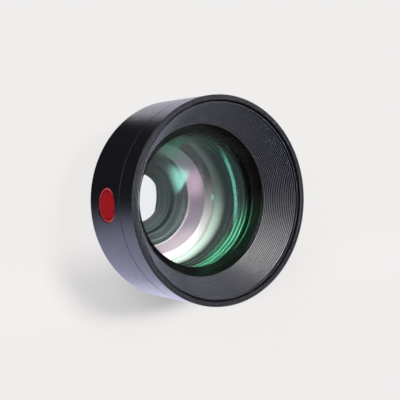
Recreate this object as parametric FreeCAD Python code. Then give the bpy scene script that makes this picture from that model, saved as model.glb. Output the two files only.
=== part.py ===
"""Clip-on telephoto lens for a phone camera, standing on the end of its bayonet stem.

The optical axis is Z. The stem's end face is at z = 0 and the front glass looks up.
Every turned piece is a revolved profile, given as (radius, height) points.
All lengths are in millimetres.
"""
import FreeCAD
import Part

import math
import os

V = FreeCAD.Vector
AXIS = V(0, 0, 1)
ORIGIN = V(0, 0, 0)

# Barrel and front ring
ring_wall = 1.6              # front ring outside the barrel's collar
collar_wall = 1.1            # barrel wall inside the front ring's thread
collar_length = 1.2          # how far that wall stands above the seam
neck_wall = 2.7              # barrel wall at the short neck behind the shoulder
neck_length = 1.2
neck_fillet = 0.4
shoulder_height = 9.3        # cone between the neck and the cylinder
shoulder_round = 0.9         # rounding where the cylinder turns into the shoulder
barrel_length = 12.8         # cylindrical part, up to the seam
front_ring_length = 5.5      # from the seam to the front face
seam_chamfer = 0.12
rim_width = 1.15             # flat front face of the front ring
rim_outer_chamfer = 0.25
rim_inner_chamfer = 0.15

# Ribbed hood insert
ridge_count = 18
ridge_depth = 0.125
ridge_steep_share = 0.62     # part of the pitch that the steep side of a ridge takes
hood_setback = 0.6           # lip of the hood below the front face
hood_lip_width = 0.35
hood_lip_drop = 0.18         # first ridge below the lip
hood_gap = 0.25              # dark gap between the hood's lip and the rim

# Clearances
lens_clearance = 0.05        # glass in its bore, on the radius
thread_clearance = 0.1       # threaded pieces, on the radius
screw_clearance = 0.05

# Cemented pair in the middle of the barrel
crown_front_curve = 60.0
cement_curve = 90.0          # convex to the rear
flint_back_curve = 100.0
crown_thickness = 5.5
flint_thickness = 1.6
pair_clear_radius = 14.2
pair_edge_width = 0.8
front_spacer_height = 0.6
spacer_step = 0.2            # room between the front spacer and the barrel's ledge

# Front element
front_curve = 36.0
front_back_curve = 80.0
front_thickness = 6.4
front_rim_depth = 8.05       # rim of the polished face below the front face
front_step = 3.05            # front element's edge outside the cemented pair's
front_edge_width = 0.95      # ground flat between the polished face and the edge
retainer_lip = 0.35          # front retaining ring over the glass
retainer_show = 0.15         # dark ring in view between the ridges and the polished face
retainer_overlap = 0.15      # the ring reaches this far in over the polished face
retainer_foot = 0.85         # width of the ring's outer foot
seal_channel = 1.2           # width of the O-ring's channel
seal_section = 0.45          # O-ring cord radius
spanner_slot = 1.2           # width of the slots in both retaining rings

# Light-trap sleeve between the groups
sleeve_flange_height = 2.2
sleeve_step = 0.95           # sleeve's body inside the cemented pair's edge
sleeve_foot_wall = 2.5
sleeve_cone_height = 1.5     # smooth cone above the foot
sleeve_cone_width = 0.6
sleeve_groove_count = 5
sleeve_groove_depth = 0.35

# Mouth of the mount, in view through the front glass
ledge_show = 1.55            # flat ledge between the sleeve's foot and the mouth
mouth_width = 1.5            # cone of the mouth
mouth_height = 1.3
mouth_chamfer = 0.15         # thin bright edge round the rear group's bore

# Rear group, put in from the front
rear_front_curve = 40.0      # concave to the front
rear_cement_curve = 24.0     # concave to the rear
rear_back_curve = 100.0      # convex to the rear
rear_front_thickness = 1.9
rear_back_thickness = 3.0
rear_edge_width = 0.5
rear_back_edge_width = 0.6
rear_seat_height = 1.3       # seat of the group above the stem's end
rear_lip_thickness = 0.7
stop_thickness = 0.2
stop_width = 4.1             # stop's opening inside the rear group's edge
rear_ring_width = 2.0
rear_ring_height = 1.1
rear_ring_land = 0.8         # upper land of the ring, where the spanner slots are
rear_ring_step = 0.3
rear_ring_chamfer = 0.2

# Bayonet mount
stem_length = 4.6
stem_wall = 1.85
stem_chamfer = 0.25
flange_thickness = 1.4
flange_step = 0.2            # flange inside the neck's edge
shim_thickness = 0.2
spigot_height = 3.1          # locating spigot inside the barrel
spigot_seat = 1.45           # the sleeve's foot stands this far on the spigot
lug_count = 2
lug_angle = 60.0
lug_reach = 1.8
lug_height = 1.2
lug_start = 0.5              # from the stem's end
felt_width = 0.9
felt_depth = 0.6
felt_clearance = 0.4         # from the stem to the felt ring
screw_count = 3
screw_radius = 0.6
screw_head_radius = 1.1
screw_head_height = 0.6
screw_length = 3.6
screw_wall = 0.4             # barrel wall between the sleeve's bore and the screws
screw_slot_width = 0.3
screw_slot_depth = 0.25
screw_first_angle = 30.0
pin_radius = 0.5
pin_length = 2.4
pin_angle = 90.0

# Badge disc in the side
badge_radius = 3.7
badge_clearance = 0.1
badge_pocket_depth = 1.3
badge_thickness = 0.95
badge_rim = 0.35
badge_dish = 0.2
badge_edge_chamfer = 0.12
badge_below_seam = 5.7


def sag(curve, radius):
    """Height that a sphere of the given curve drops from its vertex out to radius."""
    return curve - math.sqrt(curve * curve - radius * radius)


# Radii, worked out from the optics to the outside
pair_radius = pair_clear_radius + pair_edge_width
pair_bore = pair_radius + lens_clearance
front_radius = pair_radius + front_step
front_bore = front_radius + lens_clearance
front_clear_radius = front_radius - front_edge_width
retainer_inner_radius = front_clear_radius - retainer_overlap
hood_inner_radius = front_clear_radius + retainer_show
retainer_foot_radius = front_radius + seal_channel
hood_thread_radius = retainer_foot_radius + retainer_foot
hood_bore = hood_thread_radius + thread_clearance
collar_radius = hood_bore + collar_wall
ring_bore = collar_radius + thread_clearance
outer_radius = ring_bore + ring_wall
rim_radius = outer_radius - rim_width
hood_lip_radius = rim_radius - hood_gap
badge_floor = outer_radius - badge_pocket_depth

# Radii, worked out from the pair to the inside
sleeve_radius = pair_radius - sleeve_step
sleeve_bore = sleeve_radius + thread_clearance
sleeve_foot_radius = sleeve_radius - sleeve_foot_wall
sleeve_cone_radius = sleeve_foot_radius + sleeve_cone_width
spigot_radius = sleeve_foot_radius + spigot_seat
spigot_bore = spigot_radius + thread_clearance
mouth_radius = sleeve_foot_radius - ledge_show
rear_bore = mouth_radius - mouth_width - mouth_chamfer
rear_radius = rear_bore - lens_clearance
rear_clear_radius = rear_radius - rear_edge_width
rear_back_clear_radius = rear_radius - rear_back_edge_width
rear_ring_radius = rear_radius - rear_ring_width
stop_radius = rear_radius - stop_width

# Radii of the mount
stem_radius = rear_bore + stem_wall
felt_radius = stem_radius + felt_clearance
neck_radius = sleeve_bore + neck_wall
flange_radius = neck_radius - flange_step
screw_circle_radius = sleeve_bore + screw_wall + screw_radius

# Heights of the mount and barrel, worked out from the rear to the front
shim_z = stem_length + flange_thickness
rear_face_z = shim_z + shim_thickness
ledge_z = rear_face_z + spigot_height
shoulder_z = rear_face_z + neck_length
barrel_edge_z = shoulder_z + shoulder_height
seam_z = barrel_edge_z + barrel_length
collar_z = seam_z + collar_length
front_z = seam_z + front_ring_length
badge_z = seam_z - badge_below_seam

# Heights of the front glass, worked out from the front face to the rear
front_rim_z = front_z - front_rim_depth
front_vertex_z = front_rim_z + sag(front_curve, front_clear_radius)
front_back_vertex_z = front_vertex_z - front_thickness
front_seat_z = front_back_vertex_z - sag(front_back_curve, front_clear_radius)
crown_rim_z = front_seat_z - front_spacer_height
crown_vertex_z = crown_rim_z + sag(crown_front_curve, pair_clear_radius)
cement_vertex_z = crown_vertex_z - crown_thickness
flint_vertex_z = cement_vertex_z - flint_thickness
pair_seat_z = flint_vertex_z - sag(flint_back_curve, pair_clear_radius)
retainer_roof_z = front_rim_z + retainer_lip / 2
seal_floor_z = retainer_roof_z - 2 * seal_section
hood_foot_z = front_rim_z + retainer_lip
hood_lip_z = front_z - hood_setback

# Heights of the rear group, worked out from its seat to the front
mouth_foot_z = ledge_z - mouth_height
rear_back_vertex_z = rear_seat_height - sag(rear_back_curve, rear_back_clear_radius)
rear_cement_z = rear_back_vertex_z + rear_back_thickness
rear_vertex_z = rear_cement_z + rear_front_thickness
stop_bottom_z = rear_vertex_z + sag(rear_front_curve, rear_clear_radius)
stop_top_z = stop_bottom_z + stop_thickness
rear_ring_top_z = stop_top_z + rear_ring_height
rear_ring_step_z = rear_ring_top_z - rear_ring_step


def corner(before, point, after, radius):
    """Tangent points and middle of the arc that rounds one corner of an outline."""
    p = V(point[0], 0, point[1])
    a = (V(before[0], 0, before[1]) - p).normalize()
    b = (V(after[0], 0, after[1]) - p).normalize()
    half = a.getAngle(b) / 2
    reach = radius / math.tan(half)
    middle = (a + b).normalize() * (radius / math.sin(half) - radius)
    return p + a * reach, p + middle, p + b * reach


def outline_face(points):
    """Face in the XZ plane. A point (r, z, fillet) has its corner rounded."""
    edges = []
    last = None
    first = None
    count = len(points)
    for i, point in enumerate(points):
        if len(point) == 3:
            start, middle, end = corner(points[i - 1], point, points[(i + 1) % count], point[2])
        else:
            start = end = V(point[0], 0, point[1])
        if last is None:
            first = start
        else:
            edges.append(Part.LineSegment(last, start).toShape())
        if len(point) == 3:
            edges.append(Part.Arc(start, middle, end).toShape())
        last = end
    edges.append(Part.LineSegment(last, first).toShape())
    return Part.Face(Part.Wire(edges))


def turned(points):
    """Solid of revolution about the optical axis."""
    return outline_face(points).revolve(ORIGIN, AXIS, 360)


def ring(inner, outer, bottom, top):
    """Plain ring with a rectangular section."""
    return turned([(inner, bottom), (outer, bottom), (outer, top), (inner, top)])


def polished(curve, vertex_z, radius, side):
    """Arc of a polished face from the axis to radius. side is 1 where it drops, -1 where it rises."""
    def at(r):
        return V(r, 0, vertex_z - side * sag(curve, r))
    return at(0), at(radius / 2), at(radius)


def lens(front, back, edge_radius):
    """Glass element. front and back are polished faces, given bottom to top on the axis."""
    back_axis, back_middle, back_end = polished(*back)
    front_axis, front_middle, front_end = polished(*front)
    edges = [Part.Arc(back_axis, back_middle, back_end).toShape()]
    last = back_end
    for target in (V(edge_radius, 0, back_end.z), V(edge_radius, 0, front_end.z), front_end):
        if last.distanceToPoint(target) > 1e-6:
            edges.append(Part.LineSegment(last, target).toShape())
            last = target
    edges.append(Part.Arc(front_end, front_middle, front_axis).toShape())
    edges.append(Part.LineSegment(front_axis, back_axis).toShape())
    return Part.Face(Part.Wire(edges)).revolve(ORIGIN, AXIS, 360)


def around(shape, count, first_angle=0.0):
    """Copies of a shape spread evenly about the optical axis."""
    copies = []
    for k in range(count):
        copy = shape.copy()
        copy.rotate(ORIGIN, AXIS, first_angle + 360.0 * k / count)
        copies.append(copy)
    return copies


def spanner_slots(inner, outer, top, depth):
    """Two opposite slots for a pin spanner, cut down from the top face."""
    length = outer - inner
    block = Part.makeBox(length, spanner_slot, depth, V(inner, -spanner_slot / 2, top - depth))
    return around(block, 2)


def screw_places(shape):
    """The mount screws' pattern."""
    shape.translate(V(screw_circle_radius, 0, 0))
    return around(shape, screw_count, screw_first_angle)


def countersink(grow):
    """Screw outline in the flange: a cone for the head and the shank, grown by a clearance."""
    head_top = stem_length + screw_head_height
    return turned([(0, stem_length), (screw_head_radius + grow, stem_length),
                   (screw_radius + grow, head_top),
                   (screw_radius + grow, stem_length + screw_length + grow),
                   (0, stem_length + screw_length + grow)])


def clocking_pin():
    """Dowel that sets the bayonet square to the badge."""
    pin = Part.makeCylinder(pin_radius, pin_length, V(screw_circle_radius, 0, 0))
    pin.translate(V(0, 0, shim_z - pin_length / 2))
    pin.rotate(ORIGIN, AXIS, pin_angle)
    return pin


def pin_hole():
    """Hole for the dowel through flange, shim and barrel, closed at both ends."""
    hole = Part.makeCylinder(pin_radius + screw_clearance, pin_length, V(screw_circle_radius, 0, 0))
    hole.translate(V(0, 0, shim_z - pin_length / 2))
    hole.rotate(ORIGIN, AXIS, pin_angle)
    return hole


def badge_outline(radius, floor, face):
    """Plain cylinder along -Y at the badge's height."""
    return Part.makeCylinder(radius, face - floor, V(0, -floor, badge_z), V(0, -1, 0))


def rear_barrel():
    """Main barrel with the stepped bore that everything is stacked in."""
    body = turned([
        (spigot_bore, rear_face_z),
        (neck_radius - seam_chamfer, rear_face_z),
        (neck_radius, rear_face_z + seam_chamfer),
        (neck_radius, shoulder_z, neck_fillet),
        (outer_radius, barrel_edge_z, shoulder_round),
        (outer_radius, seam_z - seam_chamfer),
        (outer_radius - seam_chamfer, seam_z),
        (collar_radius, seam_z),
        (collar_radius, collar_z - seam_chamfer),
        (collar_radius - seam_chamfer, collar_z),
        (hood_bore, collar_z),
        (hood_bore, seal_floor_z),
        (front_bore, seal_floor_z),
        (front_bore, crown_rim_z - spacer_step),
        (pair_bore, crown_rim_z - spacer_step),
        (pair_bore, pair_seat_z - sleeve_flange_height - spacer_step),
        (sleeve_bore, pair_seat_z - sleeve_flange_height - spacer_step),
        (sleeve_bore, ledge_z),
        (spigot_bore, ledge_z),
    ])
    body = body.cut(badge_outline(badge_radius + badge_clearance, badge_floor, outer_radius))
    body = body.cut(Part.makeCompound(screw_places(countersink(screw_clearance)) + [pin_hole()]))
    return body


def front_ring():
    """Outer ring that screws over the barrel's collar and frames the hood."""
    return turned([
        (ring_bore, seam_z),
        (outer_radius - seam_chamfer, seam_z),
        (outer_radius, seam_z + seam_chamfer),
        (outer_radius, front_z - rim_outer_chamfer),
        (outer_radius - rim_outer_chamfer, front_z),
        (rim_radius + rim_inner_chamfer, front_z),
        (rim_radius, front_z - rim_inner_chamfer),
        (rim_radius, collar_z),
        (ring_bore, collar_z),
    ])


def hood_cone():
    """Ribbed conical hood. Each ridge has a steep side and a narrow ledge that faces the front."""
    top = (hood_lip_radius - hood_lip_width, hood_lip_z - hood_lip_drop)
    foot = (hood_inner_radius, hood_foot_z)
    slope_length = math.hypot(top[0] - foot[0], top[1] - foot[1])
    out = ((top[1] - foot[1]) / slope_length, -(top[0] - foot[0]) / slope_length)
    points = [(hood_lip_radius - hood_lip_width, hood_lip_z)]
    for k in range(ridge_count):
        for share, depth in ((k, 0.0), (k + ridge_steep_share, ridge_depth)):
            part = share / ridge_count
            points.append((top[0] + (foot[0] - top[0]) * part + out[0] * depth,
                           top[1] + (foot[1] - top[1]) * part + out[1] * depth))
    points += [
        foot,
        (hood_thread_radius, hood_foot_z),
        (hood_thread_radius, collar_z),
        (collar_radius, collar_z),
        (hood_lip_radius, collar_z + hood_gap),
        (hood_lip_radius, hood_lip_z - hood_lip_drop / 2),
        (hood_lip_radius - hood_lip_drop / 2, hood_lip_z),
    ]
    return turned(points)


def front_retaining_ring():
    """Ring that clamps the front element and squeezes the O-ring."""
    foot_z = seal_floor_z + spacer_step
    body = turned([
        (retainer_inner_radius, retainer_roof_z),
        (front_clear_radius, front_rim_z),
        (front_radius, front_rim_z),
        (front_radius, retainer_roof_z),
        (retainer_foot_radius, retainer_roof_z),
        (retainer_foot_radius, foot_z),
        (hood_thread_radius, foot_z),
        (hood_thread_radius, hood_foot_z),
        (front_clear_radius, hood_foot_z),
    ])
    slots = spanner_slots(retainer_foot_radius, hood_bore, hood_foot_z, retainer_foot / 2)
    return body.cut(Part.makeCompound(slots))


def front_seal():
    """O-ring round the edge of the front element."""
    middle = (front_bore + retainer_foot_radius) / 2
    return Part.makeTorus(middle, seal_section, V(0, 0, seal_floor_z + seal_section))


def badge_disc():
    """Plain dished disc with a raised rim, glued in the pocket in the barrel's side."""
    face = badge_floor + badge_thickness
    points = [
        (0, badge_floor),
        (badge_radius, badge_floor),
        (badge_radius, face - badge_edge_chamfer),
        (badge_radius - badge_edge_chamfer, face),
        (badge_radius - badge_rim, face),
        (badge_radius / 2, face - badge_dish),
        (0, face - badge_dish),
    ]
    disc = turned(points)
    disc.rotate(ORIGIN, V(1, 0, 0), 90)
    disc.translate(V(0, 0, badge_z))
    return disc


def front_element():
    """Large convex front lens."""
    return lens((front_curve, front_vertex_z, front_clear_radius, 1),
                (front_back_curve, front_back_vertex_z, front_clear_radius, 1), front_radius)


def doublet_crown():
    """Front half of the cemented pair."""
    return lens((crown_front_curve, crown_vertex_z, pair_clear_radius, 1),
                (cement_curve, cement_vertex_z, pair_radius, -1), pair_radius)


def doublet_flint():
    """Rear half of the cemented pair."""
    return lens((cement_curve, cement_vertex_z, pair_radius, -1),
                (flint_back_curve, flint_vertex_z, pair_clear_radius, 1), pair_radius)


def rear_group_front():
    """Negative element, hollow on both sides."""
    return lens((rear_front_curve, rear_vertex_z, rear_clear_radius, -1),
                (rear_cement_curve, rear_cement_z, rear_radius, 1), rear_radius)


def rear_group_back():
    """Biconvex element cemented behind the negative one."""
    return lens((rear_cement_curve, rear_cement_z, rear_radius, 1),
                (rear_back_curve, rear_back_vertex_z, rear_back_clear_radius, -1), rear_radius)


def front_spacer():
    """Ring between the front element and the cemented pair."""
    return ring(pair_clear_radius, front_radius, crown_rim_z, front_seat_z)


def baffle_tube():
    """Stepped light-trap sleeve that the cemented pair sits on."""
    flange_z = pair_seat_z - sleeve_flange_height
    foot_top_z = ledge_z + sleeve_cone_height
    points = [
        (sleeve_foot_radius, ledge_z),
        (sleeve_radius, ledge_z),
        (sleeve_radius, flange_z),
        (pair_radius, flange_z),
        (pair_radius, pair_seat_z),
    ]
    rise = (pair_seat_z - foot_top_z) / (sleeve_groove_count + 0.5)
    mouth = pair_clear_radius - sleeve_groove_depth
    spread = (mouth - sleeve_cone_radius) / sleeve_groove_count
    for k in range(sleeve_groove_count, 0, -1):
        crest = sleeve_cone_radius + spread * k
        z = foot_top_z + rise * k
        upper = pair_seat_z if k == sleeve_groove_count else z + rise / 2
        points.append((crest, upper))
        points.append((crest, z))
        points.append((crest + sleeve_groove_depth, z))
        points.append((crest + sleeve_groove_depth, z - rise / 2))
    points.append((sleeve_cone_radius, foot_top_z + rise / 2))
    points.append((sleeve_cone_radius, foot_top_z))
    return turned(points)


def aperture_stop():
    """Thin black stop in front of the rear group."""
    return ring(stop_radius, rear_radius, stop_bottom_z, stop_top_z)


def rear_retaining_ring():
    """Stepped ring that clamps the stop and the rear group from the front."""
    land_radius = rear_radius - rear_ring_land
    body = turned([
        (rear_ring_radius, stop_top_z),
        (rear_radius, stop_top_z),
        (rear_radius, rear_ring_top_z),
        (land_radius, rear_ring_top_z),
        (land_radius - rear_ring_chamfer, rear_ring_step_z),
        (rear_ring_radius + rear_ring_chamfer, rear_ring_step_z),
        (rear_ring_radius, rear_ring_step_z - rear_ring_chamfer),
    ])
    slots = spanner_slots(land_radius - rear_ring_chamfer, rear_bore, rear_ring_top_z, rear_ring_height / 2)
    return body.cut(Part.makeCompound(slots))


def mount_stem():
    """Flange, bayonet stem, lugs and the bore of the rear group, turned as one piece."""
    felt_outer = felt_radius + felt_width
    felt_top_z = stem_length + felt_depth
    body = turned([
        (rear_bore, 0),
        (stem_radius - stem_chamfer, 0),
        (stem_radius, stem_chamfer),
        (stem_radius, stem_length),
        (felt_radius, stem_length),
        (felt_radius, felt_top_z),
        (felt_outer, felt_top_z),
        (felt_outer, stem_length),
        (flange_radius - stem_chamfer, stem_length),
        (flange_radius, stem_length + stem_chamfer),
        (flange_radius, shim_z),
        (spigot_radius, shim_z),
        (spigot_radius, ledge_z),
        (mouth_radius, ledge_z),
        (rear_bore + mouth_chamfer, mouth_foot_z),
        (rear_bore, mouth_foot_z - mouth_chamfer),
        (rear_bore, rear_seat_height),
        (rear_back_clear_radius, rear_seat_height),
        (rear_back_clear_radius, rear_seat_height - rear_lip_thickness),
    ])
    lug_outer = stem_radius + lug_reach
    lug_face = outline_face([
        (stem_radius - stem_wall / 2, lug_start),
        (lug_outer - stem_chamfer, lug_start),
        (lug_outer, lug_start + stem_chamfer),
        (lug_outer, lug_start + lug_height),
        (stem_radius - stem_wall / 2, lug_start + lug_height),
    ])
    lug = lug_face.revolve(ORIGIN, AXIS, lug_angle)
    lug.rotate(ORIGIN, AXIS, -lug_angle / 2)
    for copy in around(lug, lug_count):
        body = body.fuse(copy)
    holes = screw_places(countersink(screw_clearance)) + [pin_hole()]
    return body.removeSplitter().cut(Part.makeCompound(holes))


def mount_shim():
    """Thin shim under the flange that sets the bayonet's angle and the back focus."""
    shim = ring(spigot_bore, flange_radius, shim_z, rear_face_z)
    holes = screw_places(countersink(screw_clearance)) + [pin_hole()]
    return shim.cut(Part.makeCompound(holes))


def mount_screws():
    """Three slotted countersunk screws through the flange."""
    screw = countersink(0.0)
    slot = Part.makeBox(2 * screw_head_radius, screw_slot_width, screw_slot_depth,
                        V(-screw_head_radius, -screw_slot_width / 2, stem_length))
    return Part.makeCompound(screw_places(screw.cut(slot)))


def felt_ring():
    """Felt light seal, flush in a groove of the flange."""
    return ring(felt_radius, felt_radius + felt_width, stem_length, stem_length + felt_depth)


pieces = {
    "rear_barrel": rear_barrel,
    "front_ring": front_ring,
    "hood_cone": hood_cone,
    "front_element": front_element,
    "front_retaining_ring": front_retaining_ring,
    "front_seal": front_seal,
    "front_spacer": front_spacer,
    "doublet_crown": doublet_crown,
    "doublet_flint": doublet_flint,
    "baffle_tube": baffle_tube,
    "rear_group_front": rear_group_front,
    "rear_group_back": rear_group_back,
    "aperture_stop": aperture_stop,
    "rear_retaining_ring": rear_retaining_ring,
    "mount_stem": mount_stem,
    "mount_shim": mount_shim,
    "mount_screws": mount_screws,
    "clocking_pin": clocking_pin,
    "felt_ring": felt_ring,
    "badge_disc": badge_disc,
}

os.makedirs("parts", exist_ok=True)
for name, make in pieces.items():
    make().exportStep("parts/" + name + ".step")
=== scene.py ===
"""Looks of the phone telephoto lens: coated glass, black metal, the red side disc and the studio light.

The frame stands on the stem's end with the optical axis along Z. The photo looks at the front glass
from the side with the disc, with its own up direction towards -X. Lengths are in metres, apart from
the camera's focal length and sensor width. Angles are in degrees, and directions are turned from +X.
"""

import math

import bpy
from mathutils import Matrix, Vector


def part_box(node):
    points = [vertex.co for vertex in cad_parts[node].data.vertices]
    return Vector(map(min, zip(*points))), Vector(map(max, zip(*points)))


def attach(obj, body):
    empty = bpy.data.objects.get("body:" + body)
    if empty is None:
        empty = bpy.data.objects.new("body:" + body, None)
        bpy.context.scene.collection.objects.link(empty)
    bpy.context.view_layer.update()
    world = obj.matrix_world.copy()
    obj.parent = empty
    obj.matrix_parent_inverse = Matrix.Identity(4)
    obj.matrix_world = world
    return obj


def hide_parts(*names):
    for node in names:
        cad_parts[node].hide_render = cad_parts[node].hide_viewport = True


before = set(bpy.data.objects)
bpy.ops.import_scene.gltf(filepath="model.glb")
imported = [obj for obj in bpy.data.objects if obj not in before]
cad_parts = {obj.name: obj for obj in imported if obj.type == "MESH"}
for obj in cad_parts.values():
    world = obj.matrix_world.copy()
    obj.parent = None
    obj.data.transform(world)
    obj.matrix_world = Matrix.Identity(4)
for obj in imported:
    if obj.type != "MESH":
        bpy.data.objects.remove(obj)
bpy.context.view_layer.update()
scene = bpy.context.scene
scene.view_settings.view_transform = "Standard"

MM = 0.001

# Polished faces: radius of curvature, and the edge width between the polished face and the rim
FRONT_CURVE = 36 * MM
FRONT_BACK_CURVE = 80 * MM
FRONT_EDGE = 0.95 * MM
PAIR_FRONT_CURVE = 60 * MM
PAIR_BACK_CURVE = 100 * MM
PAIR_EDGE = 0.8 * MM
REAR_FRONT_CURVE = 40 * MM
REAR_BACK_CURVE = 100 * MM
REAR_EDGE = 0.5 * MM
REAR_BACK_EDGE = 0.6 * MM

# Refractive index of the front glass and the pair, and of the rear group
GLASS_INDEX = 1.6
REAR_INDEX = 1.8

# How finely the glass is turned, and the angle past which an edge is drawn sharp
AROUND = 256
RINGS = 64
SHARP_EDGE = 25

# Materials of a glass, in the order of its slots
FRONT_FACE, BACK_FACE, GROUND_EDGE = range(3)

# Where a coating's colour turns between the middle and the edge of a face
FRONT_TURN = (14.4 * MM, 15.6 * MM)
PAIR_TURN = (8.0 * MM, 14.0 * MM)
REAR_TURN = (3.0 * MM, 7.5 * MM)

# Slight haze near the rim of the front glass, where it mirrors the ridges: roughness, side and reach
HAZE = 0.20
HAZE_SIDE = 180
HAZE_START = (12.6 * MM, 14.4 * MM)
HAZE_FADE = (6.0 * MM, 11.0 * MM)

# Noise of a finish: its scale, and the middle part of its range that is used
FINE_GRAIN = 900.0
NOISE_SPAN = (0.3, 0.7)

# Turned rings of the stop: scale of their noise, and the part of its range where they turn lighter
RING_SCALE = 1800.0
RING_SPAN = (0.42, 0.62)

# Width over which a sharp change of finish is drawn
SHARP = 0.05 * MM

# Hood ridges: their count and radial span, the lowest crest, and the share of the pitch where the worn crest
# with its painted highlight ends
RIDGES = 18
RIDGE_SPAN = 4.0 * MM
RIDGE_FOOT = 17.25 * MM
RIDGE_PITCH = RIDGE_SPAN / RIDGES
RIDGE_WEAR_AND_HIGHLIGHT = (0.32, 0.42)

# Black parts behind the glass: heights of the sleeve's foot of painted light and of its painted green light,
# and the side of that green
SLEEVE_LIT_FOOT = (9.6 * MM, 11.2 * MM)
SLEEVE_PAINTED_GREEN = 13.2 * MM
PAINTED_GREEN_SIDE = 42
PAINTED_GREEN_START = (9.0 * MM, 13.5 * MM)
PAINTED_GREEN_RISE = 1.2 * MM

# Steel mouth behind the middle pair: height of its cone's foot, the radii of its lip and its ledge, and where
# the ledge's painted light fades out
MOUTH_FOOT = 7.95 * MM
LIP_EDGE = (8.50 * MM, 8.62 * MM)
LEDGE_RADIUS = 10.0 * MM
LEDGE_LIGHT_FADE = (10.9 * MM, 12.2 * MM)

# Part of the ledge that carries painted light, and part of the cone that is duller: its side and start
LEDGE_LIT_SIDE = 40
LEDGE_LIT_START = (3.0 * MM, 7.8 * MM)
SATIN_SIDE = 12
SATIN_START = (5.0 * MM, 8.8 * MM)

# Side disc: radii of the painted shade line at the foot of its rim, and of the rim's painted highlight
BADGE_SHADE_LINE = (2.95 * MM, 3.10 * MM)
BADGE_RIM_HIGHLIGHT = (3.20 * MM, 3.35 * MM)

# Camera: distance and shifts in radii of the front ring, angle off the optical axis, turn about it and roll
VIEW_DISTANCE = 7.69
VIEW_LEFT = 0.2328
VIEW_UP = 0.0086
VIEW_TILT = 34.63
VIEW_TURN = -4.68
VIEW_ROLL = -2.09
FOCAL_LENGTH = 73.57
SENSOR_WIDTH = 36.0

# Floor: half width, tint, brightness in the picture, brightness that the lamps give a white floor, and
# its colour through the glass
FLOOR_HALF = 2.0
FLOOR_TINT = (1.0, 0.985, 0.975)
FLOOR_WHITE = 0.86
FLOOR_LIGHT = 1.06
FLOOR_THROUGH_GLASS = (0.90, 0.93, 0.96)

# Share of the floor's brightness that a shadow can take, on the band beside the lens and elsewhere
BAND_SHADE = 0.50
ELSEWHERE_SHADE = 0.06

# Band of the floor that takes the shadow: start and end in X, rise in Y, and the share before that rise
BAND_START = (8 * MM, 22 * MM)
BAND_END = (26.5 * MM, 33.0 * MM)
BAND_RISE = (-20 * MM, 12 * MM)
BAND_LOW = 0.6

# Reflection cards: the place that they stand around, their distance from it, and the middle of their map
LENS_MIDDLE = Vector((0, 0, 30 * MM))
CARD_DISTANCE = 0.7
CARD_MIDDLE = 0.5

# Room: its tint, its light on matt things, and its light in reflections and through glass
ROOM_TINT = (0.85, 0.92, 1.0)
ROOM_LIGHT = 0.05
ROOM_MIRRORED = 0.42

# Small green lamps inside the lens: their sides, each one's radius with the radius and height that it aims
# at, and how far below that height it hangs
GREEN_LAMP_SIDES = (20, 60)
GREEN_LAMPS = ((8.5 * MM, 13 * MM, 15.0 * MM), (9.5 * MM, 14 * MM, 17.5 * MM))
GREEN_LAMP_DROP = 0.8 * MM

WHITE = (1, 1, 1)


# Measures
def top_of(node):
    """Highest point of a CAD node."""
    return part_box(node)[1].z


def bottom_of(node):
    """Lowest point of a CAD node."""
    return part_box(node)[0].z


def radius_of(node):
    """Radius of a turned CAD node."""
    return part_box(node)[1].x


def sag(curve, radius):
    """Height that a sphere drops from its vertex out to a radius."""
    return curve - math.sqrt(curve * curve - radius * radius)


def direction(azimuth, elevation):
    """Unit vector turned from +X and raised from the level."""
    turn = math.radians(azimuth)
    rise = math.radians(elevation)
    return Vector((math.cos(rise) * math.cos(turn), math.cos(rise) * math.sin(turn), math.sin(rise)))


def tone(color, level):
    """Colour at another brightness."""
    return tuple(part * level for part in color)


# Nodes. A value may be a number, a colour of three parts, a vector or another node's result.
def new_material(name):
    """Material with an empty node tree, and the tree."""
    material = bpy.data.materials.new(name)
    material.use_nodes = True
    material.node_tree.nodes.clear()
    return material, material.node_tree


def feed(tree, socket, value):
    """Set a socket to a value."""
    if isinstance(value, bpy.types.NodeSocket):
        tree.links.new(value, socket)
    elif socket.type == "RGBA":
        socket.default_value = (*value, 1)
    else:
        socket.default_value = value


def filled(tree, node, values):
    """Node whose inputs are given in their order."""
    for socket, value in zip(node.inputs, values):
        feed(tree, socket, value)
    return node


def simple_node(tree, kind, *values):
    """First result of a node that needs nothing but its inputs."""
    return filled(tree, tree.nodes.new(kind), values).outputs[0]


def finished(material, shader):
    """Material whose surface is a shader."""
    output = material.node_tree.nodes.new("ShaderNodeOutputMaterial")
    material.node_tree.links.new(shader, output.inputs["Surface"])
    return material


def principled(tree, **values):
    """Principled shader with values by socket name."""
    shader = tree.nodes.new("ShaderNodeBsdfPrincipled")
    for key, value in values.items():
        feed(tree, shader.inputs[key.replace("_", " ")], value)
    return shader.outputs[0]


def arithmetic(tree, operation, *values):
    """Result of a calculation with numbers."""
    node = tree.nodes.new("ShaderNodeMath")
    node.operation = operation
    return filled(tree, node, values).outputs[0]


def vector_math(tree, operation, result, *values):
    """Result of a calculation with vectors, by the name of its socket."""
    node = tree.nodes.new("ShaderNodeVectorMath")
    node.operation = operation
    return filled(tree, node, values).outputs[result]


def map_range(tree, value, span, low, high, kind="LINEAR"):
    """Value that goes from low to high while another crosses a span."""
    node = tree.nodes.new("ShaderNodeMapRange")
    node.interpolation_type = kind
    names = ("Value", "From Min", "From Max", "To Min", "To Max")
    for name, level in zip(names, (value, *span, low, high)):
        feed(tree, node.inputs[name], level)
    return node.outputs["Result"]


def step(tree, value, span):
    """Smooth rise from 0 to 1 while a value crosses a span."""
    return map_range(tree, value, span, 0.0, 1.0, "SMOOTHSTEP")


def sharp_step(tree, value, level):
    """Sharp rise from 0 to 1 just below a level."""
    return step(tree, value, (level - SHARP, level))


def between(tree, share, low, high):
    """Value that goes from low to high with a share."""
    return map_range(tree, share, (0.0, 1.0), low, high)


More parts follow.
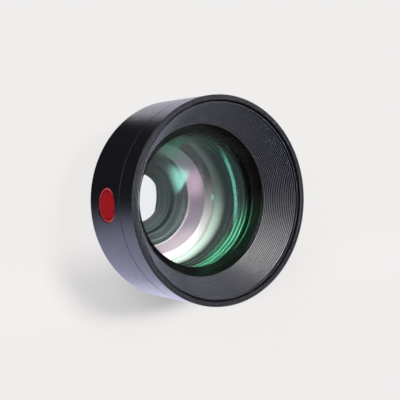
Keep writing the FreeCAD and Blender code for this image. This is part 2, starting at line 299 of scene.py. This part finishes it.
def blend(tree, share, first, second):
    """Colour that goes from the first to the second with a share."""
    return simple_node(tree, "ShaderNodeMixRGB", share, first, second)


def point(tree, chart="Object"):
    """Place of the shaded point."""
    return tree.nodes.new("ShaderNodeTexCoord").outputs[chart]


def along(tree, axis, chart="Object"):
    """Place of the shaded point on one axis."""
    split = tree.nodes.new("ShaderNodeSeparateXYZ")
    feed(tree, split.inputs[0], point(tree, chart))
    return split.outputs[axis]


def distance_from(tree, centre, axes):
    """Distance of the shaded point from a centre, measured on some of the axes."""
    away = vector_math(tree, "SUBTRACT", "Vector", point(tree), centre)
    flat = vector_math(tree, "MULTIPLY", "Vector", away, axes)
    return vector_math(tree, "LENGTH", "Value", flat)


def axis_distance(tree):
    """Distance of the shaded point from the optical axis."""
    return distance_from(tree, (0, 0, 0), (1, 1, 0))


def side_distance(tree, azimuth):
    """Distance of the shaded point from the axis, measured towards one side."""
    return vector_math(tree, "DOT_PRODUCT", "Value", point(tree), direction(azimuth, 0))


def grain(tree, low, high):
    """Fine noise between two values."""
    noise = tree.nodes.new("ShaderNodeTexNoise")
    feed(tree, noise.inputs["Vector"], point(tree))
    feed(tree, noise.inputs["Scale"], FINE_GRAIN)
    return map_range(tree, noise.outputs["Fac"], NOISE_SPAN, low, high)


# Materials
def surface(name, color, roughness, **values):
    """Opaque material whose roughness wanders between two values."""
    material, tree = new_material(name)
    return finished(material, principled(tree, Base_Color=color, Roughness=grain(tree, *roughness), **values))


def rim_haze(tree):
    """Roughness of the hazy rim of the front glass."""
    near_rim = step(tree, axis_distance(tree), HAZE_START)
    one_side = step(tree, side_distance(tree, HAZE_SIDE), HAZE_FADE)
    return between(tree, arithmetic(tree, "MULTIPLY", near_rim, one_side), 0.0, HAZE)


def coated_glass(name, tint, edge_tint, index, turn, hazy=False):
    """Polished glass whose coating turns from one colour to another between two distances from the axis."""
    material, tree = new_material(name)
    return finished(material, principled(
        tree,
        Base_Color=WHITE,
        Transmission_Weight=1.0,
        IOR=index,
        Roughness=rim_haze(tree) if hazy else 0.0,
        Specular_Tint=blend(tree, step(tree, axis_distance(tree), turn), tint, edge_tint)))


def ribbed_material():
    """Black anodised ridges whose crests are worn smoother. Their lighter crests are a painted highlight and
    their darker grooves painted shade.
    """
    material, tree = new_material("ribbed_black")
    from_foot = arithmetic(tree, "SUBTRACT", axis_distance(tree), RIDGE_FOOT)
    place = arithmetic(tree, "FRACT", arithmetic(tree, "DIVIDE", from_foot, RIDGE_PITCH))
    worn_and_highlit = arithmetic(tree, "SUBTRACT", 1.0, step(tree, place, RIDGE_WEAR_AND_HIGHLIGHT))
    # Painted shade in the grooves and a painted highlight on the crests, in base colour and in reflection
    # tint
    groove_shade = (0.001, 0.001, 0.0015)
    crest_highlight = (0.078, 0.081, 0.102)
    return finished(material, principled(
        tree,
        Base_Color=blend(tree, worn_and_highlit, groove_shade, crest_highlight),
        Specular_Tint=blend(tree, worn_and_highlit, (0.03, 0.03, 0.03), WHITE),
        Roughness=between(tree, worn_and_highlit, 0.5, grain(tree, 0.22, 0.28))))


def inner_black(name, painted_green, painted_green_height):
    """Matt black inside the lens with painted light making its foot lighter. Above a height one side carries
    the coating's green as painted light.
    """
    material, tree = new_material(name)
    height = along(tree, "Z")
    raised = step(tree, height, (painted_green_height, painted_green_height + PAINTED_GREEN_RISE))
    one_side = step(tree, side_distance(tree, PAINTED_GREEN_SIDE), PAINTED_GREEN_START)
    # Painted light: a pale green foot, and the coating's green on one side above a height
    lit_foot = (0.25, 0.33, 0.28)
    wall = (0.010, 0.012, 0.011)
    black_with_lit_foot = blend(tree, step(tree, height, SLEEVE_LIT_FOOT), lit_foot, wall)
    return finished(material, principled(
        tree,
        Base_Color=blend(tree, arithmetic(tree, "MULTIPLY", raised, one_side), black_with_lit_foot, painted_green),
        Specular_Tint=(0.3, 0.3, 0.3),
        Roughness=grain(tree, 0.56, 0.64)))


def stop_material():
    """Turned black face with fine lighter rings about the axis."""
    material, tree = new_material("stop_black")
    noise = tree.nodes.new("ShaderNodeTexNoise")
    noise.noise_dimensions = "1D"
    feed(tree, noise.inputs["W"], axis_distance(tree))
    feed(tree, noise.inputs["Scale"], RING_SCALE)
    face = (0.022, 0.028, 0.028)
    ring = (0.075, 0.085, 0.085)
    return finished(material, principled(
        tree,
        Base_Color=blend(tree, step(tree, noise.outputs["Fac"], RING_SPAN), face, ring),
        Roughness=grain(tree, 0.38, 0.46)))


def stem_material():
    """Turned steel outside. Inside, a bright lip, a pinkish cone and a ledge with painted light on one side
    that fades to greenish black outwards.
    """
    material, tree = new_material("stem_steel")
    radius = axis_distance(tree)
    inside = sharp_step(tree, along(tree, "Z"), MOUTH_FOOT)
    cone = step(tree, radius, LIP_EDGE)
    ledge = sharp_step(tree, radius, LEDGE_RADIUS)
    satin = step(tree, side_distance(tree, SATIN_SIDE), SATIN_START)
    lit_side = step(tree, side_distance(tree, LEDGE_LIT_SIDE), LEDGE_LIT_START)
    steel = (0.60, 0.60, 0.62)
    lip_color = (0.60, 0.60, 0.60)
    greenish_black = (0.06, 0.13, 0.10)
    cone_color = blend(tree, satin, (0.56, 0.45, 0.55), (0.30, 0.265, 0.29))
    # Painted light: the ledge is near white on one side and fades to greenish black outwards
    painted_lit_ledge = blend(tree, lit_side, (0.05, 0.055, 0.055), (0.80, 0.80, 0.80))
    ledge_color = blend(tree, step(tree, radius, LEDGE_LIGHT_FADE), painted_lit_ledge, greenish_black)
    mouth = blend(tree, ledge, blend(tree, cone, lip_color, cone_color), ledge_color)
    lip = arithmetic(tree, "SUBTRACT", 1.0, cone)
    matt = arithmetic(tree, "MAXIMUM", arithmetic(tree, "MAXIMUM", ledge, lip), satin)
    blasted = arithmetic(tree, "MULTIPLY", inside, matt)
    return finished(material, principled(
        tree,
        Base_Color=blend(tree, inside, steel, mouth),
        Metallic=between(tree, blasted, 1.0, 0.25),
        Roughness=between(tree, blasted, 0.32, 0.55)))


def badge_material():
    """Plain red disc. Its raised rim is lighter as a painted highlight and meets the dish in a dark line of
    painted shade.
    """
    material, tree = new_material("badge_red")
    low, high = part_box("badge_disc")
    reach = distance_from(tree, (low + high) / 2, (1, 0, 1))
    # Painted shade in the line at the rim's foot, and a painted highlight on the rim
    dish = (0.55, 0.006, 0.015)
    crease_shade = (0.10, 0.001, 0.003)
    rim = (0.90, 0.10, 0.11)
    inner = blend(tree, step(tree, reach, BADGE_SHADE_LINE), dish, crease_shade)
    return finished(material, principled(
        tree,
        Base_Color=blend(tree, step(tree, reach, BADGE_RIM_HIGHLIGHT), inner, rim),
        Specular_IOR_Level=0.25,
        Roughness=grain(tree, 0.26, 0.34)))


ANODISED = surface("anodised_black", (0.010, 0.010, 0.013), (0.27, 0.33))
RIBBED = ribbed_material()
GLOSS = surface("gloss_black", (0.012, 0.007, 0.007), (0.10, 0.14))
RUBBER = surface("seal_rubber", (0.02, 0.02, 0.02), (0.55, 0.65))
STEEL = surface("turned_steel", (0.60, 0.60, 0.62), (0.25, 0.35), Metallic=1.0)
STEM = stem_material()
# Black parts with painted light: a pale foot, and painted green on one side
SLEEVE = inner_black("sleeve_black", (0.04, 0.20, 0.11), SLEEVE_PAINTED_GREEN)
SPACER = inner_black("spacer_black", (0.008, 0.06, 0.025), 0.0)
PAIR_PAINTED_GREEN = inner_black("pair_edge", (0.03, 0.22, 0.10), 0.0)
STOP = stop_material()
BRASS = surface("shim_brass", (0.76, 0.60, 0.30), (0.3, 0.4), Metallic=1.0)
FELT = surface("felt", (0.02, 0.02, 0.023), (0.9, 1.0))
RED = badge_material()
INK = surface("ground_edge_black", (0.010, 0.008, 0.008), (0.22, 0.28))


FINISH = {
    "rear_barrel": ANODISED,
    "front_ring": ANODISED,
    "hood_cone": RIBBED,
    "front_retaining_ring": GLOSS,
    "front_seal": RUBBER,
    "front_spacer": SPACER,
    "baffle_tube": SLEEVE,
    "aperture_stop": STOP,
    "rear_retaining_ring": STOP,
    "mount_stem": STEM,
    "mount_shim": BRASS,
    "mount_screws": STEEL,
    "clocking_pin": STEEL,
    "felt_ring": FELT,
    "badge_disc": RED,
    "front_element": INK,
    "doublet_crown": INK,
    "doublet_flint": INK,
    "rear_group_front": INK,
    "rear_group_back": INK,
}
for node, material in FINISH.items():
    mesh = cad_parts[node].data
    mesh.materials.clear()
    mesh.materials.append(material)


# Glass
def lathe(name, profile, kinds, materials):
    """Turned mesh from a profile of (radius, height) points that starts and ends on the axis."""
    points = []
    rows = []
    for radius, height in profile:
        if radius == 0:
            rows.append([len(points)])
            points.append((0.0, 0.0, height))
        else:
            rows.append(list(range(len(points), len(points) + AROUND)))
            for k in range(AROUND):
                angle = 2 * math.pi * k / AROUND
                points.append((radius * math.cos(angle), radius * math.sin(angle), height))
    faces = []
    face_kinds = []
    for upper, lower, kind in zip(rows, rows[1:], kinds):
        for k in range(AROUND):
            after = (k + 1) % AROUND
            if len(upper) == 1:
                faces.append((upper[0], lower[k], lower[after]))
            elif len(lower) == 1:
                faces.append((upper[k], lower[0], upper[after]))
            else:
                faces.append((upper[k], lower[k], lower[after], upper[after]))
            face_kinds.append(kind)
    mesh = bpy.data.meshes.new(name)
    mesh.from_pydata(points, [], faces)
    for material in materials:
        mesh.materials.append(material)
    mesh.polygons.foreach_set("material_index", face_kinds)
    mesh.polygons.foreach_set("use_smooth", [True] * len(faces))
    mesh.set_sharp_from_angle(angle=math.radians(SHARP_EDGE))
    obj = bpy.data.objects.new(name, mesh)
    scene.collection.objects.link(obj)
    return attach(obj, "root")


def polished_face(curve, vertex, reach, side):
    """Profile of a spherical face out to its clear radius. It drops outwards for side 1 and rises for -1."""
    radii = [reach * k / RINGS for k in range(RINGS + 1)]
    return [(radius, vertex - side * sag(curve, radius)) for radius in radii]


def lens(name, front, back, rim, materials):
    """Glass turned between the profiles of its two polished faces, with a ground edge around it."""
    edge = [(rim, front[-1][1]), (rim, back[-1][1])]
    kinds = [FRONT_FACE] * RINGS + [GROUND_EDGE] * (len(edge) + 1) + [BACK_FACE] * RINGS
    return lathe(name, front + edge + back[::-1], kinds, materials)


front_rim = radius_of("front_element")
front_clear = front_rim - FRONT_EDGE
front_back_vertex = bottom_of("front_element") + sag(FRONT_BACK_CURVE, front_clear)
front_glass = lens(
    "front_glass",
    polished_face(FRONT_CURVE, top_of("front_element"), front_clear, 1),
    polished_face(FRONT_BACK_CURVE, front_back_vertex, front_clear, 1),
    front_rim,
    (coated_glass("front_coating", (0.10, 0.85, 0.50), (0.01, 0.12, 0.06), GLASS_INDEX, FRONT_TURN,
                  hazy=True),
     coated_glass("front_back_coating", (0.03, 0.02, 0.03), (0.02, 0.12, 0.06), GLASS_INDEX, FRONT_TURN),
     INK))
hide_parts("front_element")

pair_rim = radius_of("doublet_crown")
pair_clear = pair_rim - PAIR_EDGE
pair_back_vertex = bottom_of("doublet_flint") + sag(PAIR_BACK_CURVE, pair_clear)
pair_glass = lens(
    "pair_glass",
    polished_face(PAIR_FRONT_CURVE, top_of("doublet_crown"), pair_clear, 1),
    polished_face(PAIR_BACK_CURVE, pair_back_vertex, pair_clear, 1),
    pair_rim,
    (coated_glass("pair_coating", (0.72, 0.53, 0.68), (0.45, 0.75, 0.50), GLASS_INDEX, PAIR_TURN),
     coated_glass("pair_back_coating", (0.10, 0.14, 0.16), (0.1, 0.14, 0.16), GLASS_INDEX, PAIR_TURN),
     PAIR_PAINTED_GREEN))
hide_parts("doublet_crown", "doublet_flint")

rear_rim = radius_of("rear_group_front")
rear_clear = rear_rim - REAR_EDGE
rear_front_vertex = top_of("rear_group_front") - sag(REAR_FRONT_CURVE, rear_clear)
rear_glass = lens(
    "rear_glass",
    polished_face(REAR_FRONT_CURVE, rear_front_vertex, rear_clear, -1),
    polished_face(REAR_BACK_CURVE, bottom_of("rear_group_back"), rear_rim - REAR_BACK_EDGE, -1),
    rear_rim,
    (coated_glass("rear_coating", (0.3, 0.2, 0.3), (0.2, 0.3, 0.3), REAR_INDEX, REAR_TURN),
     coated_glass("rear_back_coating", (0.1, 0.3, 0.3), (0.3, 0.2, 0.3), REAR_INDEX, REAR_TURN),
     INK))
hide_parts("rear_group_front", "rear_group_back")


# Camera
def photo_camera():
    """Camera of the photo, placed from the front ring's middle."""
    rim = radius_of("front_ring")
    middle = Vector((0, 0, top_of("front_ring")))
    tilt = math.radians(VIEW_TILT)
    roll = math.radians(VIEW_ROLL)
    back = Vector((0, -math.sin(tilt), math.cos(tilt)))
    level = Vector((0, math.cos(tilt), math.sin(tilt)))
    right = math.cos(roll) * level - math.sin(roll) * back.cross(level)
    up = back.cross(right)
    place = middle + rim * (VIEW_DISTANCE * back - VIEW_LEFT * right + VIEW_UP * up)
    data = bpy.data.cameras.new("photo_camera")
    data.sensor_width = SENSOR_WIDTH
    data.lens = FOCAL_LENGTH
    camera = bpy.data.objects.new("photo_camera", data)
    scene.collection.objects.link(camera)
    pose = Matrix((right, up, back)).transposed().to_4x4()
    pose.translation = place
    camera.matrix_world = Matrix.Rotation(math.radians(VIEW_TURN), 4, "Z") @ pose
    return camera


scene.camera = photo_camera()


# Stage
def quad(name, corners, material):
    """Four-cornered stage card with its own 0 to 1 map."""
    mesh = bpy.data.meshes.new(name)
    mesh.from_pydata(corners, [], [(0, 1, 2, 3)])
    chart = mesh.uv_layers.new(name="chart")
    for corner, place in enumerate(((0, 0), (1, 0), (1, 1), (0, 1))):
        chart.data[corner].uv = place
    mesh.materials.append(material)
    obj = bpy.data.objects.new(name, mesh)
    scene.collection.objects.link(obj)
    return obj


def level_card(name, middle, half_x, half_y, material):
    """Level rectangle from its middle and two half widths."""
    signs = ((-1, -1), (1, -1), (1, 1), (-1, 1))
    corners = [Vector(middle) + Vector((x * half_x, y * half_y, 0)) for x, y in signs]
    return quad(name, corners, material)


def floor_tone(tree, band, band_level, elsewhere_level):
    """Floor's tint at one level on the shadow's band and at another elsewhere."""
    return blend(tree, band, tone(FLOOR_TINT, elsewhere_level), tone(FLOOR_TINT, band_level))


def floor_material():
    """Pale matt floor. Part of its light is its own, and most of the shadow falls on a band on one side."""
    material, tree = new_material("floor")
    x = along(tree, "X")
    across = arithmetic(tree, "SUBTRACT", step(tree, x, BAND_START), step(tree, x, BAND_END))
    lengthwise = between(tree, step(tree, along(tree, "Y"), BAND_RISE), BAND_LOW, 1.0)
    band = arithmetic(tree, "MULTIPLY", across, lengthwise)
    lit = simple_node(tree, "ShaderNodeBsdfDiffuse", floor_tone(tree, band, BAND_SHADE, ELSEWHERE_SHADE))
    own = floor_tone(tree, band, FLOOR_WHITE - BAND_SHADE * FLOOR_LIGHT,
                     FLOOR_WHITE - ELSEWHERE_SHADE * FLOOR_LIGHT)
    both = simple_node(tree, "ShaderNodeAddShader", lit, simple_node(tree, "ShaderNodeEmission", own))
    plain = simple_node(tree, "ShaderNodeBsdfDiffuse", tone(FLOOR_TINT, BAND_SHADE))
    white = simple_node(tree, "ShaderNodeEmission", FLOOR_THROUGH_GLASS)
    paths = tree.nodes.new("ShaderNodeLightPath").outputs
    seen = simple_node(tree, "ShaderNodeMixShader", paths["Is Camera Ray"], plain, both)
    return finished(material, simple_node(
        tree, "ShaderNodeMixShader", paths["Is Transmission Ray"], seen, white))


def glow_material(name, color, strength, soft):
    """Even glow that fades out towards the card's edges. The card itself is clear."""
    material, tree = new_material(name)
    fades = []
    for axis in ("X", "Y"):
        from_edge = arithmetic(tree, "PINGPONG", along(tree, axis, "UV"), CARD_MIDDLE)
        fades.append(step(tree, from_edge, (0.0, soft)))
    level = arithmetic(tree, "MULTIPLY", arithmetic(tree, "MULTIPLY", *fades), strength)
    glow = simple_node(tree, "ShaderNodeEmission", color, level)
    clear = simple_node(tree, "ShaderNodeBsdfTransparent")
    return finished(material, simple_node(tree, "ShaderNodeAddShader", glow, clear))


def hidden_card(card):
    """Card that only shows in reflections and through the glass."""
    card.visible_camera = False
    card.visible_diffuse = False
    card.visible_shadow = False
    return card


def lights_only(source, group):
    """Limit a lamp or card to one group of objects."""
    source.light_linking.receiver_collection = group
    return source


def group_of(name, objects):
    """Collection of the objects that a lamp or card reaches."""
    group = bpy.data.collections.new(name)
    for obj in objects:
        group.objects.link(obj)
    return group


def softbox(name, corners, strength, group, color, soft):
    """Reflection card between four directions seen from the lens."""
    points = [LENS_MIDDLE + CARD_DISTANCE * direction(*corner) for corner in corners]
    card = hidden_card(quad(name, points, glow_material(name, color, strength, soft)))
    return lights_only(card, group)


def lamp(name, place, target, size, power):
    """Rectangular soft lamp that points at a target. It shows in no reflection and not through glass."""
    data = bpy.data.lights.new(name, "AREA")
    data.shape = "RECTANGLE"
    data.size, data.size_y = size
    data.energy = power
    obj = bpy.data.objects.new(name, data)
    obj.location = place
    obj.rotation_euler = (Vector(target) - Vector(place)).to_track_quat("-Z", "Y").to_euler()
    obj.visible_glossy = False
    obj.visible_transmission = False
    scene.collection.objects.link(obj)
    return obj


def studio_world():
    """Dim room that is brighter in reflections and through glass."""
    world = bpy.data.worlds.new("studio")
    world.use_nodes = True
    tree = world.node_tree
    paths = tree.nodes.new("ShaderNodeLightPath").outputs
    mirrored = arithmetic(tree, "MAXIMUM", paths["Is Glossy Ray"], paths["Is Transmission Ray"])
    room = tree.nodes["Background"]
    feed(tree, room.inputs["Color"], ROOM_TINT)
    feed(tree, room.inputs["Strength"], between(tree, mirrored, ROOM_LIGHT, ROOM_MIRRORED))
    return world


level_card("floor", (0, 0, 0), FLOOR_HALF, FLOOR_HALF, floor_material())

# Dark card just over the floor, which the metal and the glass mirror
CARD_BLACK = surface("card_black", (0.01, 0.01, 0.012), (0.8, 0.9))
dark_card = level_card("dark_card", (0, -125 * MM, 0.6 * MM), 200 * MM, 115 * MM, CARD_BLACK)
hidden_card(dark_card).visible_transmission = False

glass_group = group_of("glass_group", (front_glass, pair_glass, rear_glass))
metal_group = group_of("metal_group", [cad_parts[node] for node in sorted(set(FINISH) - {"badge_disc"})])

# Glowing cards a little higher, which the metal mirrors: middle, half widths, colour and softness
for name, middle, half_x, half_y, color, soft in (
        ("side_glow", (98.2 * MM, -90 * MM), 100 * MM, 150 * MM, (1.26, 1.26, 1.80), 0.115),
        ("top_glow", (-70 * MM, 30 * MM), 50 * MM, 38 * MM, (0.54, 0.54, 0.74), 0.024)):
    glow = glow_material(name, color, 1.0, soft)
    glow_card = level_card(name, (*middle, 0.8 * MM), half_x, half_y, glow)
    lights_only(hidden_card(glow_card), metal_group).visible_transmission = False

scene.world = studio_world()

# Lamps outside the lens, with widths in metres and power in watts
lamp("table_light", place=(-0.42, 0.06, 1.6), target=(0, 0, 0), size=(0.35, 0.35), power=22)
lamp("front_light", place=(-0.3, -1.0, 1.2), target=(0, 0, 0), size=(0.9, 0.9), power=12)

# Small lamps inside the lens, for the steel mouth and for the green that the coatings throw on one side
mouth_nodes = ("mount_stem", "baffle_tube", "aperture_stop", "rear_retaining_ring")
mouth_group = group_of("mouth_group", [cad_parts[node] for node in mouth_nodes])
mouth_light = lamp("mouth_light", place=(6.5 * MM, 3.5 * MM, 14.2 * MM), target=(8.5 * MM, 5.0 * MM, 0),
                   size=(3 * MM, 3 * MM), power=0.0011)
lights_only(mouth_light, mouth_group)

green_nodes = ("baffle_tube", "front_spacer")
green_group = group_of("green_group", [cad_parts[node] for node in green_nodes] + [pair_glass])
for azimuth in GREEN_LAMP_SIDES:
    outwards = direction(azimuth, 0)
    for lamp_radius, radius, height in GREEN_LAMPS:
        place = lamp_radius * outwards + Vector((0, 0, height - GREEN_LAMP_DROP))
        target = radius * outwards + Vector((0, 0, height))
        lights_only(lamp("green_light", place, target, size=(4 * MM, 1 * MM), power=0.0010), green_group)

# Reflection cards: (azimuth, elevation) of the corners, strength, what mirrors the card, colour and softness
for name, corners, strength, group, color, soft in (
        ("top_box", ((138, 60), (190, 60), (210, 86), (110, 86)), 42, glass_group, (1.0, 0.33, 0.45), 0.4),
        ("mauve_box", ((94, 54), (94, 58.5), (84, 58.5), (84, 54)), 7.5, glass_group, WHITE, 0.45),
        ("teal_box", ((160, 36), (196, 38), (196, 49), (160, 47)), 14, glass_group, (0.03, 0.85, 0.75), 0.3),
        ("arc_box", ((126, 28), (126, 33), (64, 31), (64, 26)), 6, glass_group, (0.8, 1.0, 1.1), 0.3),
        ("crescent_box", ((68, 26), (66, 36), (30, 36), (34, 24)), 2, glass_group, (0.4, 1.0, 0.7), 0.35),
        ("rib_box", ((150, 50), (200, 50), (220, 84), (120, 84)), 30, metal_group, WHITE, 0.15),
        ("low_rib_box", ((122, 26), (160, 26), (150, 50), (125, 50)), 4, metal_group, WHITE, 0.3),
        ("right_rib_box", ((200, 60), (290, 68), (290, 84), (200, 84)), 16, metal_group, WHITE, 0.4),
        ("cone_box", ((180, 45), (300, 45), (300, 60), (180, 60)), 0.9, metal_group, (1.0, 0.9, 1.0), 0.15),
        ("pink_box", ((135, 44), (222, 44), (222, 60), (135, 60)), 6, metal_group, (1.0, 0.86, 0.93), 0.4),
        ("line_box", ((225, 26), (300, 26), (300, 42), (225, 42)), 3, metal_group, WHITE, 0.3)):
    softbox(name, corners, strength, group, color, soft)
